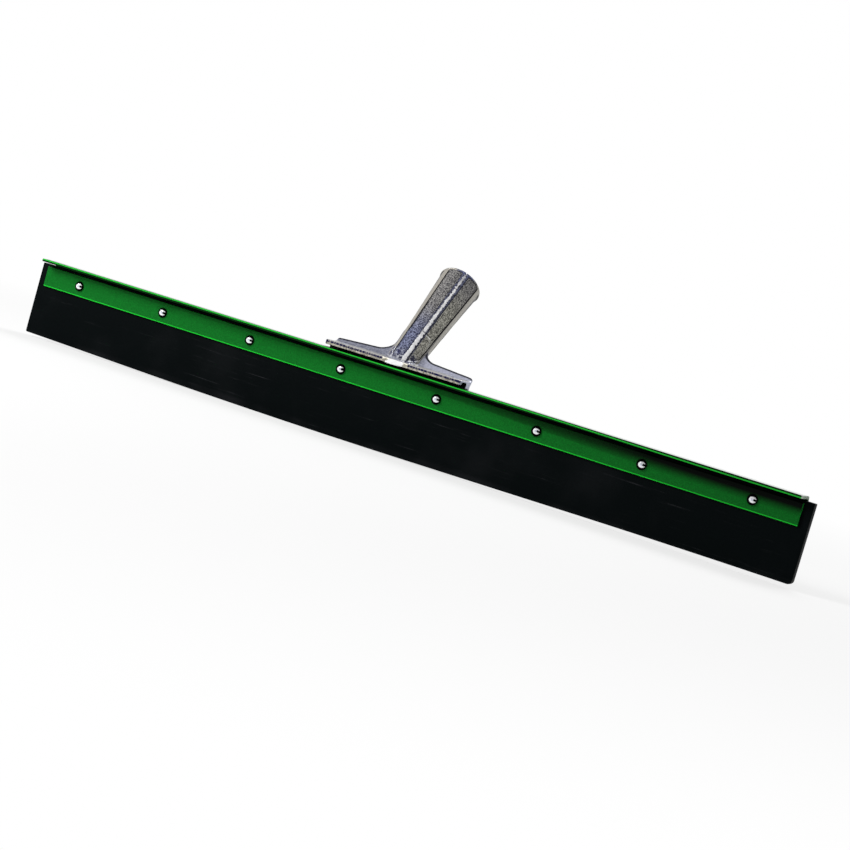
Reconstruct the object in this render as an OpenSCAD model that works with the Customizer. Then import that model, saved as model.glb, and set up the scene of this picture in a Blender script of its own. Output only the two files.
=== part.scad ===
// Head of a straight floor squeegee. A rubber blade is held between an angle frame behind it and a flat
// strip in front. A cast socket for a tapered handle is riveted on top of the frame.
// X runs along the blade, the strip faces -Y, and the handle leans back towards +Y.
// The origin is the middle of the blade's wiping edge. Sizes are in millimetres.

/* [Rubber blade] */
// How far the blade reaches past the steel at each end
blade_reach = 6.5; // [2:0.5:20]
// Height of the blade, from wiping edge to top edge
blade_h = 55.8; // [40:0.1:70]
// Thickness of the blade
blade_t = 6.4; // [4:0.2:10]
// Radius of the blade's two lower corners
blade_corner_r = 3; // [1:0.5:8]

/* [Clamp strip] */
// Length of the strip, and of the frame behind it
steel_l = 597; // [350:1:880]
// Height of the strip
strip_h = 15; // [12:0.5:20]
// Thickness of strip and frame
steel_t = 2; // [1.5:0.1:3]
// Radius of the strip's long edges
strip_edge_r = 0.5; // [0.2:0.1:0.7]
// How far the blade's top edge stands above the strip
blade_proud = 1.6; // [0:0.1:2]

/* [Back frame] */
// How far the frame's lip reaches forward past the face of the strip
lip_reach = 9.3; // [4:0.1:14]
// Gap between the top edge of the strip and the underside of the lip
lip_gap = 2.7; // [2.5:0.1:6]
// Inside radius of the frame's bend
bend_r = 1.2; // [0.5:0.1:2.5]

/* [Blade rivets] */
// Number of rivets through the blade
rivet_n = 8; // [3:1:12]
// Distance from the first and last rivet to the end of the steel
rivet_margin = 31.8; // [10:0.1:60]
// Diameter of the shank
rivet_d = 4; // [3:0.1:5]
// Diameter of the domed head
rivet_head_d = 7.2; // [6:0.1:9]
// Height of the domed head
rivet_head_h = 2.3; // [1.5:0.1:3]
// Diameter of the head that is closed behind the frame
rivet_tail_d = 6.4; // [5.5:0.1:8]
// Height of the head that is closed behind the frame
rivet_tail_h = 1.5; // [1:0.1:2]

/* [Handle socket] */
// Angle by which the socket leans back from upright
lean = 41.6; // [20:0.1:50]
// Length of the socket, from the top of its foot to its mouth, along its axis
tube_l = 82; // [65:1:110]
// Outside diameter at the mouth
mouth_d = 32; // [30:0.2:38]
// Outside diameter where the axis meets the foot
root_d = 23.4; // [21:0.2:28]
// How far the socket's axis stands in front of the frame's back face, at the top of the foot
axis_inset = 0.8; // [-2:0.1:3]
// Offset of the socket from the middle of the blade
socket_x = 1.5; // [-20:0.5:20]
// Diameter of the straight stretch inside the mouth
bore_d = 26; // [22:0.1:27]
// Length of the straight stretch inside the mouth
land_l = 14; // [6:1:20]
// Diameter at the bottom of the tapered bore
bore_end_d = 18.4; // [14:0.1:19]
// Depth of the whole bore
bore_depth = 68; // [50:1:72]
// Chamfer at the mouth, inside and outside
mouth_chamfer = 0.8; // [0.3:0.1:1]

/* [Socket ribs and panels] */
// Number of ribs round the tube
rib_n = 6; // [4:2:8]
// Width of a rib at the mouth
rib_top_w = 4.8; // [3:0.1:6]
// Width of a rib at the foot
rib_root_w = 3; // [2:0.1:4]
// Depth of the panels between the ribs, just above the step
panel_depth = 1.2; // [0.6:0.1:1.4]
// Depth of the panels at their upper ends
panel_mouth_depth = 0.6; // [0.3:0.1:1.2]
// Depth of the panels' lower stretch, where the tube is solid behind them
panel_low_depth = 0.7; // [0.3:0.1:1]
// Place along the axis where the panels step to their full depth
panel_step = 21; // [10:1:40]
// Place along the axis where the front panel ends
panel_front = -4; // [-6:0.5:2]
// Place along the axis of the front lower corners of the panels beside it
panel_toe = -6.5; // [-8:0.5:2]
// Place along the axis of the panels' lower corners next to the fins
panel_fin = 3; // [0:0.5:6]
// Place along the axis where the rear panel ends
panel_rear = 9; // [8:0.5:14]
// Radius of the panels' lower corners
panel_corner_r = 1.8; // [0.5:0.1:2.5]
// Width of the plain rim above the panels
rim_w = 1.8; // [1.5:0.1:6]

/* [Foot] */
// Length of the foot
foot_l = 108; // [90:1:150]
// Depth of the foot, from its front face to the back of the frame
foot_d = 17.5; // [16:0.1:19]
// Height of the foot's front face
foot_h = 3.3; // [3:0.1:6]
// Gap between the frame and the lower edge of the foot's front face
foot_clear = 2; // [1:0.1:3]
// Radius of the foot's corners
foot_corner_r = 2.5; // [1:0.1:4]
// Radius of the foot's top edges
foot_edge_r = 0.6; // [0.2:0.1:1]
// Width of the channel cored out of the foot's underside
channel_w = 7.2; // [5:0.1:8]
// Thickness of the wall in front of the channel
channel_wall = 1.8; // [1.2:0.1:3]
// Thickness of the foot over the channel
channel_roof = 1.2; // [1:0.1:2]
// Radius of the channel's upper corners
channel_r = 1.6; // [0.5:0.1:2]
// Length of the solid middle of the foot, under the tube
heel_l = 40; // [30:1:60]
// How far the tube's toe stands out in front of the foot
toe_proud = 0.8; // [0:0.1:2]

/* [Fins beside the tube] */
// Thickness of the fins
fin_t = 3; // [2.5:0.1:5]
// Height of the fins at the ends of the foot, along the lean
fin_end_h = 2.5; // [2:0.1:5]
// Radius of the fins' upper corners
fin_end_r = 1.6; // [0.5:0.1:2]
// Height of the fins where they begin to curve up the tube
fin_h = 4.9; // [3.5:0.1:8]
// Radius of the curve from fin to tube
fin_fillet_r = 12; // [4:0.5:14]

/* [Socket rivets] */
// Distance between the two socket rivets
socket_rivet_span = 88; // [60:1:94]
// Diameter of the shank
socket_rivet_d = 5; // [4:0.1:6]
// Diameter of the flush head in the foot
flush_head_d = 7.4; // [7:0.1:8]
// Depth of the flush head in the foot
flush_head_h = 1.3; // [1:0.1:2]
// Diameter of the boss in the channel round each rivet
boss_d = 9; // [8:0.1:10]
// Diameter of the flat head under the frame
flat_head_d = 7.4; // [7:0.1:8]
// Height of the flat head under the frame
flat_head_h = 0.8; // [0.6:0.1:1]

/* [Fits] */
// Clearance between a rivet's shank and its holes, on the radius
hole_clearance = 0.1; // [0.05:0.05:0.3]

/* [Hidden] */
$fn = 64;
cut = 1;

blade_l = steel_l + 2*blade_reach;
rivet_pitch = (steel_l - 2*rivet_margin)/(rivet_n - 1);
strip_y = -blade_t/2 - steel_t;
web_y = blade_t/2 + steel_t;
strip_z = blade_h - blade_proud - strip_h;
rivet_z = strip_z + strip_h/2;
lip_under_z = strip_z + strip_h + lip_gap;
lip_z = lip_under_z + steel_t;
lip_y = strip_y - lip_reach;
rivet_hole_r = rivet_d/2 + hole_clearance;

foot_z = lip_z + foot_clear + foot_h;
foot_under_z = lip_z + foot_clear;
foot_y = web_y - foot_d;
axis_y = web_y - axis_inset;
channel_y = foot_y + channel_wall;
sole_y = channel_y + channel_w;
socket_rivet_y = web_y - steel_t - bend_r - flat_head_d/2;
socket_hole_r = socket_rivet_d/2 + hole_clearance;
tube_low = -16;
panel_top = tube_l - rim_w;
panel_floor_r = bore_end_d/2 - 1;

function tube_r(t) = (root_d + (mouth_d - root_d)*t/tube_l)/2;
function rib_w(t) = rib_root_w + (rib_top_w - rib_root_w)*t/tube_l;
function panel_w(t) = 2*tube_r(t)*sin(180/rib_n) - rib_w(t);
function rivet_x(i) = (i - (rivet_n - 1)/2)*rivet_pitch;

// Where the rounding of radius r at corner p meets the two edges, and where its centre lies
function unit(v) = v/norm(v);
function half_angle(a, p, b) = acos(unit(a - p)*unit(b - p))/2;
function rounding_ends(a, p, b, r) =
    [for (q = [a, b]) p + unit(q - p)*r/tan(half_angle(a, p, b))];
function rounding_centre(a, p, b, r) =
    p + unit(unit(a - p) + unit(b - p))*r/sin(half_angle(a, p, b));

// The same rounding as n straight steps, for outlines that are cut out of a cone
function rounding_steps(a, p, b, r, n) =
    let (c = rounding_centre(a, p, b, r), v = rounding_ends(a, p, b, r)[0] - c)
    let (turn = 180 - 2*half_angle(a, p, b))
    [for (i = [0:n])
        let (w = turn*i/n) c + [v.x*cos(w) - v.y*sin(w), v.x*sin(w) + v.y*cos(w)]];

// Convex outline through the points, anticlockwise, with one corner radius for each point
module rounded(points, radii) {
    n = len(points);
    polygon([for (i = [0:n - 1]) each
        radii[i] > 0
            ? rounding_ends(points[(i + n - 1)%n], points[i], points[(i + 1)%n], radii[i])
            : [points[i]]]);
    for (i = [0:n - 1])
        if (radii[i] > 0)
            translate(rounding_centre(points[(i + n - 1)%n], points[i], points[(i + 1)%n], radii[i]))
                circle(radii[i]);
}

// Corners of an upright rectangle, counted anticlockwise from the lower left
function box_corners(x0, y0, x1, y1) = [[x0, y0], [x1, y0], [x1, y1], [x0, y1]];

// Turns an outline drawn in Y and Z into a bar along X, centred
module along_x(length) {
    rotate([90, 0, 90]) linear_extrude(height = length, center = true) children();
}

// Turns an outline drawn in X and Z into a plate from y0 to y1
module along_y(y0, y1) {
    translate([0, y1, 0]) rotate([90, 0, 0]) linear_extrude(height = y1 - y0) children();
}

// Flat-bottomed dome of diameter d and height h, standing on z = 0
module dome(d, h) {
    r = (d*d/4 + h*h)/(2*h);
    rotate_extrude() intersection() {
        translate([0, h - r]) circle(r);
        square([d/2, h]);
    }
}

// Round holes from y0 to y1 and a little past both, one at each blade rivet
module rivet_holes(y0, y1) {
    for (i = [0:rivet_n - 1])
        translate([rivet_x(i), y0 - cut, rivet_z])
            rotate([-90, 0, 0]) cylinder(r = rivet_hole_r, h = y1 - y0 + 2*cut);
}

module at_socket_rivets() {
    for (side = [-1, 1])
        translate([socket_x + side*socket_rivet_span/2, socket_rivet_y, 0]) children();
}

module rubber_blade() {
    color("#1c1c1e") difference() {
        along_y(-blade_t/2, blade_t/2)
            rounded(box_corners(-blade_l/2, 0, blade_l/2, blade_h),
                    [blade_corner_r, blade_corner_r, 0, 0]);
        rivet_holes(-blade_t/2, blade_t/2);
    }
}

// The web stands behind the blade, and the lip reaches forward over it. One bend joins them.
module back_frame() {
    color("#1f7a2a") difference() {
        along_x(steel_l) difference() {
            rounded(box_corners(lip_y, strip_z, web_y, lip_z), [0, 0, bend_r + steel_t, 0]);
            rounded(box_corners(lip_y - cut, strip_z - cut, web_y - steel_t, lip_under_z),
                    [0, 0, bend_r, 0]);
        }
        rivet_holes(blade_t/2, web_y);
        at_socket_rivets() translate([0, 0, lip_under_z - cut])
            cylinder(r = socket_hole_r, h = steel_t + 2*cut);
    }
}

module clamp_strip() {
    r = strip_edge_r;
    color("#1f7a2a") difference() {
        along_x(steel_l)
            rounded(box_corners(strip_y, strip_z, strip_y + steel_t, strip_z + strip_h), [r, r, r, r]);
        rivet_holes(strip_y, -blade_t/2);
    }
}

module blade_rivets() {
    grip = web_y - strip_y;
    color("#b9bdc2") for (i = [0:rivet_n - 1])
        translate([rivet_x(i), strip_y, rivet_z]) rotate([90, 0, 0]) {
            dome(rivet_head_d, rivet_head_h);
            translate([0, 0, -grip - rivet_tail_h/2])
                cylinder(d = rivet_d, h = grip + (rivet_head_h + rivet_tail_h)/2);
            translate([0, 0, -grip]) mirror([0, 0, 1]) dome(rivet_tail_d, rivet_tail_h);
        }
}

// Puts children on the socket's axis: their Z runs up the tube, and their -Y faces front
module on_axis() {
    translate([socket_x, axis_y, foot_z]) rotate([-lean, 0, 0]) children();
}

// The tube's outside, ribs and rim included
module tube_envelope() {
    rotate_extrude() polygon([
        [0, tube_low], [tube_r(tube_low), tube_low],
        [tube_r(tube_l - mouth_chamfer), tube_l - mouth_chamfer],
        [tube_r(tube_l) - mouth_chamfer, tube_l], [0, tube_l]
    ]);
}

// What the panels are sunk down to: two cones with a step between them
module tube_core() {
    rotate_extrude() polygon([
        [0, tube_low], [tube_r(tube_low) - panel_low_depth, tube_low],
        [tube_r(panel_step) - panel_low_depth, panel_step],
        [tube_r(panel_step) - panel_depth, panel_step],
        [tube_r(tube_l) - panel_mouth_depth, tube_l], [0, tube_l]
    ]);
}

// One panel between two ribs, with its lower left and lower right corner at t0 and t1
module panel(angle, t0, t1) {
    low_left = [-panel_w(t0)/2, t0];
    low_right = [panel_w(t1)/2, t1];
    top_right = [panel_w(panel_top)/2, panel_top];
    top_left = [-panel_w(panel_top)/2, panel_top];
    rotate([0, 0, angle]) translate([0, -panel_floor_r, 0]) rotate([90, 0, 0])
        linear_extrude(height = mouth_d) polygon([
            each rounding_steps(top_left, low_left, low_right, panel_corner_r, 6),
            each rounding_steps(low_left, low_right, top_right, panel_corner_r, 6),
            top_right, top_left
        ]);
}

// The panels' lower ends follow the foot, so they stand lower in front than behind
module panels() {
    step = 360/rib_n;
    difference() {
        union() {
            panel(0, panel_front, panel_front);
            panel(step, panel_toe, panel_fin);
            panel(-step, panel_fin, panel_toe);
            panel(2*step, panel_fin, panel_rear);
            panel(-2*step, panel_rear, panel_fin);
            panel(180, panel_rear, panel_rear);
        }
        tube_core();
    }
}

// The ribbed tube, trimmed level with the foot's underside and a little in front of the foot
module tube() {
    intersection() {
        on_axis() difference() {
            tube_envelope();
            panels();
        }
        translate([socket_x - mouth_d, foot_y - toe_proud, foot_under_z])
            cube([2*mouth_d, tube_l + mouth_d + foot_d, tube_l + mouth_d]);
    }
}

// The tapered bore with its straight stretch inside the mouth
module bore() {
    on_axis() {
        translate([0, 0, tube_l - bore_depth])
            cylinder(h = bore_depth - land_l, d1 = bore_end_d, d2 = bore_d);
        translate([0, 0, tube_l - land_l]) cylinder(h = land_l + cut, d = bore_d);
        translate([0, 0, tube_l - mouth_chamfer])
            cylinder(h = mouth_chamfer + cut, d1 = bore_d, d2 = bore_d + 2*(mouth_chamfer + cut));
    }
}

// A low ridge along the foot in the plane of the tube's axis, which curves up the tube's sides
module fins() {
    l = foot_l/2;
    side = tube_r(fin_h);
    top = fin_h + fin_fillet_r;
    on_axis() rotate([90, 0, 0]) linear_extrude(height = fin_t, center = true) {
        rounded([[-l, -foot_h/2], [l, -foot_h/2], [l, fin_end_h], [side + fin_fillet_r, fin_h],
                 [-side - fin_fillet_r, fin_h], [-l, fin_end_h]],
                [0, 0, fin_end_r, 0, 0, fin_end_r]);
        difference() {
            translate([-side - fin_fillet_r, fin_h - cut])
                square([2*(side + fin_fillet_r), fin_fillet_r + cut]);
            for (x = [-1, 1])
                translate([x*(side + fin_fillet_r), top]) circle(fin_fillet_r);
        }
    }
}

// The foot: a plate whose rear half reaches down to the frame as a sole. It is round-cornered in plan,
// and the edges along its top are round too.
module foot_block() {
    r = foot_edge_r;
    translate([socket_x, 0, 0]) intersection() {
        along_x(foot_l) {
            rounded(box_corners(foot_y, foot_under_z, web_y, foot_z), [0, 0, 0, r]);
            translate([sole_y, lip_z]) square([web_y - sole_y, foot_clear + foot_h/2]);
        }
        along_y(foot_y, web_y)
            rounded(box_corners(-foot_l/2, lip_z, foot_l/2, foot_z), [0, 0, r, r]);
        translate([0, 0, lip_z]) linear_extrude(height = foot_z - lip_z)
            rounded(box_corners(-foot_l/2, foot_y, foot_l/2, web_y),
                    [foot_corner_r, foot_corner_r, foot_corner_r, foot_corner_r]);
    }
}

// The channels cored out of the foot's underside, open at both ends, and solid under the tube
module channels() {
    l = (foot_l - heel_l)/2 + cut;
    r = channel_r;
    for (side = [-1, 1])
        translate([socket_x + side*(heel_l + l)/2, channel_y, foot_z - channel_roof]) along_x(l)
            rounded(box_corners(0, -foot_h, channel_w, 0), [0, 0, r, r]);
}

// A boss round each rivet's hole, down to the frame
module bosses() {
    at_socket_rivets() translate([0, 0, lip_z])
        cylinder(d = boss_d, h = foot_z - channel_roof/2 - lip_z);
}

// The cone of a flush head, and of its seat when it is carried on past the foot's top
module flush_cone(past) {
    slope = (flush_head_d/2 - socket_hole_r)/flush_head_h;
    translate([0, 0, foot_z - flush_head_h])
        cylinder(h = flush_head_h + past, r1 = socket_hole_r, r2 = flush_head_d/2 + slope*past);
}

module handle_socket() {
    color("#a9abad") difference() {
        union() {
            tube();
            fins();
            difference() {
                foot_block();
                channels();
            }
            bosses();
        }
        bore();
        at_socket_rivets() {
            translate([0, 0, lip_z - cut]) cylinder(r = socket_hole_r, h = foot_z - lip_z);
            flush_cone(cut);
        }
    }
}

module socket_rivets() {
    color("#8d9094") at_socket_rivets() {
        translate([0, 0, lip_under_z - flat_head_h]) cylinder(d = flat_head_d, h = flat_head_h);
        translate([0, 0, lip_under_z - flat_head_h/2])
            cylinder(d = socket_rivet_d, h = foot_z - lip_under_z + (flat_head_h - flush_head_h)/2);
        flush_cone(0);
    }
}

rubber_blade();
back_frame();
clamp_strip();
blade_rivets();
handle_socket();
socket_rivets();
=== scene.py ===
# %% [markdown]
# # Floor squeegee
# The head of a straight floor squeegee: a thick rubber blade between a green angle and a green strip,
# eight rivets through them, and a cast socket for the handle on top. The solid model brings every piece
# in its place. This lesson dresses it: soft, turned and cast shapes are worked out again as smooth
# surfaces, the flat steel stays as it is, and each piece gets a finish that is made of nodes.
#
# X runs along the blade, the front faces -Y, and the wiping edge stands on Z = 0. The arithmetic is in
# millimetres, and a mesh is scaled to metres when it is made.

# %% Load the frame
import math

import bpy
import numpy as np
from mathutils import Matrix, Vector


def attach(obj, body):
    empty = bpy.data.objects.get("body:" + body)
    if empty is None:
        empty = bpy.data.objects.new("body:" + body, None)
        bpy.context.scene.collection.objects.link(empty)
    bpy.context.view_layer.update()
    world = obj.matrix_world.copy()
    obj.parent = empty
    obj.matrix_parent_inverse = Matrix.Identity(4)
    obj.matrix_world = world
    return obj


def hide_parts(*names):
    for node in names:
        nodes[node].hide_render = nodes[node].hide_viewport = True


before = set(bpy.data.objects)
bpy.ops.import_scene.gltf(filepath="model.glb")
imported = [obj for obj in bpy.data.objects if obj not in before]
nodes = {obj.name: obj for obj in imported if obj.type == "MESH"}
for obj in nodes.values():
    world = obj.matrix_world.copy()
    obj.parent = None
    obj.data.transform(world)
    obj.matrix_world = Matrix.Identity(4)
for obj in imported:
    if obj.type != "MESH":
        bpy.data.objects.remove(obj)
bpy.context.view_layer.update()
MM = 0.001
print("nodes:", ", ".join(sorted(nodes)))

# %% [markdown]
# ## The camera
# A camera is placed by looking through the photograph: eight evenly spaced rivets and the four corners
# of the strip fix where it stood, how it was tilted and how long its lens was. It stood 25 degrees to
# the right of the front and a little above, and it was rolled so that the blade falls to the right.

# %% Camera
def camera_axes(azimuth, elevation, roll):
    """Unit vectors right, up and back of a camera that looks at the origin, turned by roll about its
    line of sight: right' = right cos + up sin, and up' = up cos - right sin."""
    a, e, r = map(math.radians, (azimuth, elevation, roll))
    back = np.array([math.sin(a)*math.cos(e), -math.cos(a)*math.cos(e), math.sin(e)])
    right = np.array([math.cos(a), math.sin(a), 0.0])
    up = np.cross(back, right)
    return np.array([math.cos(r)*right + math.sin(r)*up, math.cos(r)*up - math.sin(r)*right, back])


AZIMUTH, ELEVATION, ROLL = 25.0, 4.0, 16.1
IMAGE_PX, LENS_PX, SENSOR_MM = 850, 1974.0, 36.0
FRONT_Y, BACK_Y, RIVET_Z = -5.2, 5.2, 46.7
RIVETS_SEEN_AT = np.array([-25.3, 27.9, -1347.2])  # their middle in the camera's axes, in mm

axes = camera_axes(AZIMUTH, ELEVATION, ROLL)
rivet_line = np.array([0.0, FRONT_Y, RIVET_Z])
eye = (rivet_line - axes.T @ RIVETS_SEEN_AT)*MM

camera = bpy.data.objects.new("camera", bpy.data.cameras.new("camera"))
bpy.context.scene.collection.objects.link(camera)
camera.data.sensor_width = SENSOR_MM
camera.data.lens = LENS_PX/IMAGE_PX*SENSOR_MM
camera.data.clip_start, camera.data.clip_end = 0.05, 20.0
camera.matrix_world = Matrix.Translation(eye) @ Matrix(axes.T).to_4x4()
bpy.context.scene.camera = camera
print("lens %.1f mm, %.2f m from the blade" % (camera.data.lens, np.linalg.norm(eye)))

# %% [markdown]
# ## Nodes written as sums
# A finish is arithmetic on numbers that change over the surface. Adding each Math node by hand hides
# that arithmetic, so one small class wraps a node's output and turns Python's operators into nodes. The
# reflected ones, such as __rsub__, serve where a plain number comes first.

# %% Socket wrapper
class Value:
    """One output socket of a shader tree. Operators on it add Math nodes to the tree."""

    def __init__(self, shader, socket):
        self.shader, self.socket = shader, socket

    def _math(self, operation, *inputs):
        return self.shader.node("ShaderNodeMath", dict(operation=operation), *inputs)

    def __add__(self, other): return self._math("ADD", self, other)
    def __radd__(self, other): return self._math("ADD", other, self)
    def __sub__(self, other): return self._math("SUBTRACT", self, other)
    def __rsub__(self, other): return self._math("SUBTRACT", other, self)
    def __mul__(self, other): return self._math("MULTIPLY", self, other)
    def __rmul__(self, other): return self._math("MULTIPLY", other, self)
    def __truediv__(self, other): return self._math("DIVIDE", self, other)
    def __rtruediv__(self, other): return self._math("DIVIDE", other, self)
    def __pow__(self, other): return self._math("POWER", self, other)
    def __neg__(self): return self._math("MULTIPLY", self, -1.0)
    def __abs__(self): return self._math("ABSOLUTE", self)
    def low(self, other): return self._math("MINIMUM", self, other)
    def high(self, other): return self._math("MAXIMUM", self, other)
    def fract(self): return self._math("FRACT", self)

    def step(self, start, end):
        """0 before start, 1 after end, and a smooth S between them."""
        return self.shader.node("ShaderNodeMapRange", dict(interpolation_type="SMOOTHSTEP"),
                                self, start, end, 0.0, 1.0)

    def until(self, start, end):
        """1 before start, 0 after end."""
        return 1 - self.step(start, end)

    def near(self, middle, start, end):
        """1 within start of middle, 0 further than end from it."""
        return abs(self - middle).until(start, end)


print("a Value also knows", ", ".join(name for name in vars(Value) if name[0] != "_"))

# %% [markdown]
# Every other node comes from one method, `Shader.node`, which takes its type, settings and inputs. The
# same class serves a material and the world, since both are trees of nodes. Object coordinates hold the
# texture still on the piece, and in millimetres they can be compared with the sizes of the model.

# %% Shader tree
class Shader:
    """The node tree of a material or a world. Calling node() adds any node to it."""

    def __init__(self, owner):
        self.owner = owner
        owner.use_nodes = True
        self.tree = owner.node_tree
        self.surface = self.tree.nodes.get("Principled BSDF")

    def node(self, kind, settings=None, *inputs, output=0, **named):
        made = self.tree.nodes.new(kind)
        for key, value in (settings or {}).items():
            setattr(made, key, value)
        for key, value in [*enumerate(inputs), *named.items()]:
            self.link(value, made.inputs[key.replace("_", " ") if isinstance(key, str) else key])
        return Value(self, made.outputs[output])

    def link(self, value, socket):
        if isinstance(value, Value):
            self.tree.links.new(value.socket, socket)
        elif value is not None:
            socket.default_value = value

    def set(self, **inputs):
        """Sets or links the Principled shader's own inputs, as in set(Base_Color=...)."""
        for key, value in inputs.items():
            self.link(value, self.surface.inputs[key.replace("_", " ")])
        return self

    def split(self, vector):
        return [self.node("ShaderNodeSeparateXYZ", None, vector, output=i) for i in range(3)]

    def place(self):
        """Object coordinates in millimetres, and their three parts."""
        metres = self.node("ShaderNodeTexCoord", output=3)
        mm = self.node("ShaderNodeVectorMath", dict(operation="SCALE"), metres, Scale=1000.0)
        return mm, self.split(mm)

    def noise(self, vector, scale, detail=2.0, rough=0.5):
        """Noise from 0 to 1 with about `scale` bumps for each unit of vector."""
        return self.node("ShaderNodeTexNoise", None, Vector=vector, Scale=scale, Detail=detail,
                         Roughness=rough)

    def stretch(self, vector, x, y, z):
        return self.node("ShaderNodeVectorMath", dict(operation="MULTIPLY"), vector, (x, y, z))

    def mix(self, factor, a, b):
        """Colour a where factor is 0, and b where it is 1."""
        a, b = (c if isinstance(c, Value) else (*c, 1.0) for c in (a, b))
        return self.node("ShaderNodeMix", dict(data_type="RGBA"), factor, *[None]*5, a, b, output=2)

    def bump(self, height_mm, strength=1.0):
        """A Bump node for a height in millimetres."""
        return self.node("ShaderNodeBump", None, Height=height_mm, Distance=MM, Strength=strength)


print("a Shader knows", ", ".join(name for name in vars(Shader) if name[0] != "_"))

# %% [markdown]
# A finish is a material with such a tree. Its colours are written as they look on the screen, from 0 to
# 255, since that is how an eye compares them, and turned into the linear numbers that a shader wants.

# %% Finishes
def finish_of(name):
    return Shader(bpy.data.materials.new(name))


def srgb(r, g, b):
    """A colour written as 0 to 255 on the screen, as the linear numbers that the shader wants."""
    return tuple((c/255/12.92 if c <= 10 else ((c/255 + 0.055)/1.055)**2.4) for c in (r, g, b))


def dress(piece, shader):
    piece.data.materials.clear()
    piece.data.materials.append(shader.owner)
    print(piece.name, "wears", shader.owner.name, "of", len(shader.tree.nodes), "nodes")


print("green paint, linear:", [round(c, 3) for c in srgb(22, 109, 32)])

# %% [markdown]
# ## Surfaces from grids
# A smooth piece is a sheet of points that two numbers steer, one along it and one round it. Worked out
# as whole arrays, thousands of points take a moment, and the faces between neighbours are a grid too.

# %% Grid to mesh
def add_piece(name, mesh, replaces):
    """Puts a finished mesh into the scene in place of a node, on the one rigid body."""
    piece = bpy.data.objects.new(name, mesh)
    bpy.context.scene.collection.objects.link(piece)
    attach(piece, "root")
    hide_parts(replaces)
    print(name, len(mesh.vertices), "points,", len(mesh.polygons), "faces")
    return piece


def grid_faces(rows, columns, first=0):
    """Quads between neighbouring points of a grid that closes round its columns."""
    r, c = np.meshgrid(np.arange(rows - 1), np.arange(columns), indexing="ij")
    n = (c + 1) % columns
    quads = np.stack([r*columns + c, r*columns + n, (r + 1)*columns + n, (r + 1)*columns + c], -1)
    return (quads + first).reshape(-1, 4).tolist()


def closed_tube(rings, first=0):
    """Points and faces of a tube through rings (rows, columns, 3) whose two ends are flat caps."""
    rows, columns = rings.shape[:2]
    caps = [list(range(first + columns - 1, first - 1, -1)),
            list(range(first + (rows - 1)*columns, first + rows*columns))]
    return rings.reshape(-1, 3), grid_faces(rows, columns, first) + caps


def tube_piece(name, shells, replaces, sharp=40.0):
    """One piece from a list of closed shells, each given as its rings in millimetres."""
    points, faces, first = [], [], 0
    for rings in shells:
        p, f = closed_tube(rings, first)
        points.append(p)
        faces.extend(f)
        first += len(p)
    mesh = bpy.data.meshes.new(name)
    mesh.from_pydata(np.concatenate(points)*MM, [], faces)
    mesh.shade_smooth()
    mesh.set_sharp_from_angle(angle=math.radians(sharp))
    return add_piece(name, mesh, replaces)


print("3 rings of 8 points have", len(grid_faces(3, 8)), "faces between them")

# %% [markdown]
# ## The rubber blade
# The blade is a strip of solid rubber, cut from sheet. Its cut edges are a little rounded, its lower
# corners more so. A rounded section carried along X gives all of that at once, since the section's
# lower edge can be a function of X.

# %% Slab surface
def slab_rings(length, low, high, front, back, edge, x_steps, edge_steps=5):
    """Rings of a slab along X. low(x) and high(x) are its lower and upper edges, front and back its
    faces in Y. Near both ends the section draws in by edge*(1 - cos a) while x moves by
    edge*(1 - sin a), a quarter circle that rounds the end's rim."""
    a = np.linspace(0, np.pi/2, edge_steps)
    inset_end = edge*(1 - np.sin(a))
    x_end = length/2 - edge*(1 - np.cos(a))
    x = np.concatenate([-x_end, x_steps, x_end[::-1]])
    inset = np.concatenate([inset_end, np.zeros(len(x_steps)), inset_end[::-1]])
    arc = np.concatenate([np.linspace(k*np.pi/2, (k + 1)*np.pi/2, edge_steps) for k in range(4)])
    cy, cz = np.cos(arc), np.sin(arc)
    quarter = np.repeat(np.arange(4), edge_steps)
    to_back = np.isin(quarter, (0, 3)).astype(float)
    to_top = np.isin(quarter, (0, 1)).astype(float)
    lo, hi = low(x)[:, None], high(x)[:, None]
    i = inset[:, None]
    y = front + (back - front)*to_back + (cy - np.sign(to_back - 0.5))*edge - i*cy
    z = lo + (hi - lo)*to_top + (cz - np.sign(to_top - 0.5))*edge - i*cz
    return np.stack([np.broadcast_to(x[:, None], y.shape), y, z], -1)


trial = slab_rings(10.0, lambda x: 0*x, lambda x: 0*x + 5, -1, 1, 0.5, np.array([0.0]))
print("a short slab has", trial.shape[0], "rings of", trial.shape[1], "points")

# %% [markdown]
# Nothing that soft is quite straight: the blade's lower edge hangs in a shallow bow, and below the
# clamped part its face wanders by a few tenths.

# %% Blade surface
BLADE = dict(length=610.0, height=55.8, thick=6.4, left_corner=1.2, right_corner=3.0, edge=0.5)
BOW = dict(height=1.5, lowest=-70.0, half_wave=340.0)
STRIP_Z = 39.2


def blade_low(x):
    """Lower edge: a quarter circle at each corner, and a bow height*(1 - cos) round its lowest place."""
    half = BLADE["length"]/2
    radius = np.where(x < 0, BLADE["left_corner"], BLADE["right_corner"])
    past = np.clip(np.abs(x) - (half - radius), 0, radius)
    bow = BOW["height"]*(1 - np.cos(np.pi*(x - BOW["lowest"])/BOW["half_wave"]))
    return radius - np.sqrt(np.maximum(radius**2 - past**2, 0)) + bow


def blade_wander(rings):
    """Long soft waves in Y, nothing along the clamped top and about 0.5 mm along the lower edge."""
    x, z = rings[..., 0], rings[..., 2]
    free = np.clip(1 - z/STRIP_Z, 0, 1)**1.5
    rings[..., 1] += (0.30*np.sin(x/61.0 + 0.8) + 0.2*np.sin(x/23.0 + z/19.0))*free
    return rings


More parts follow.
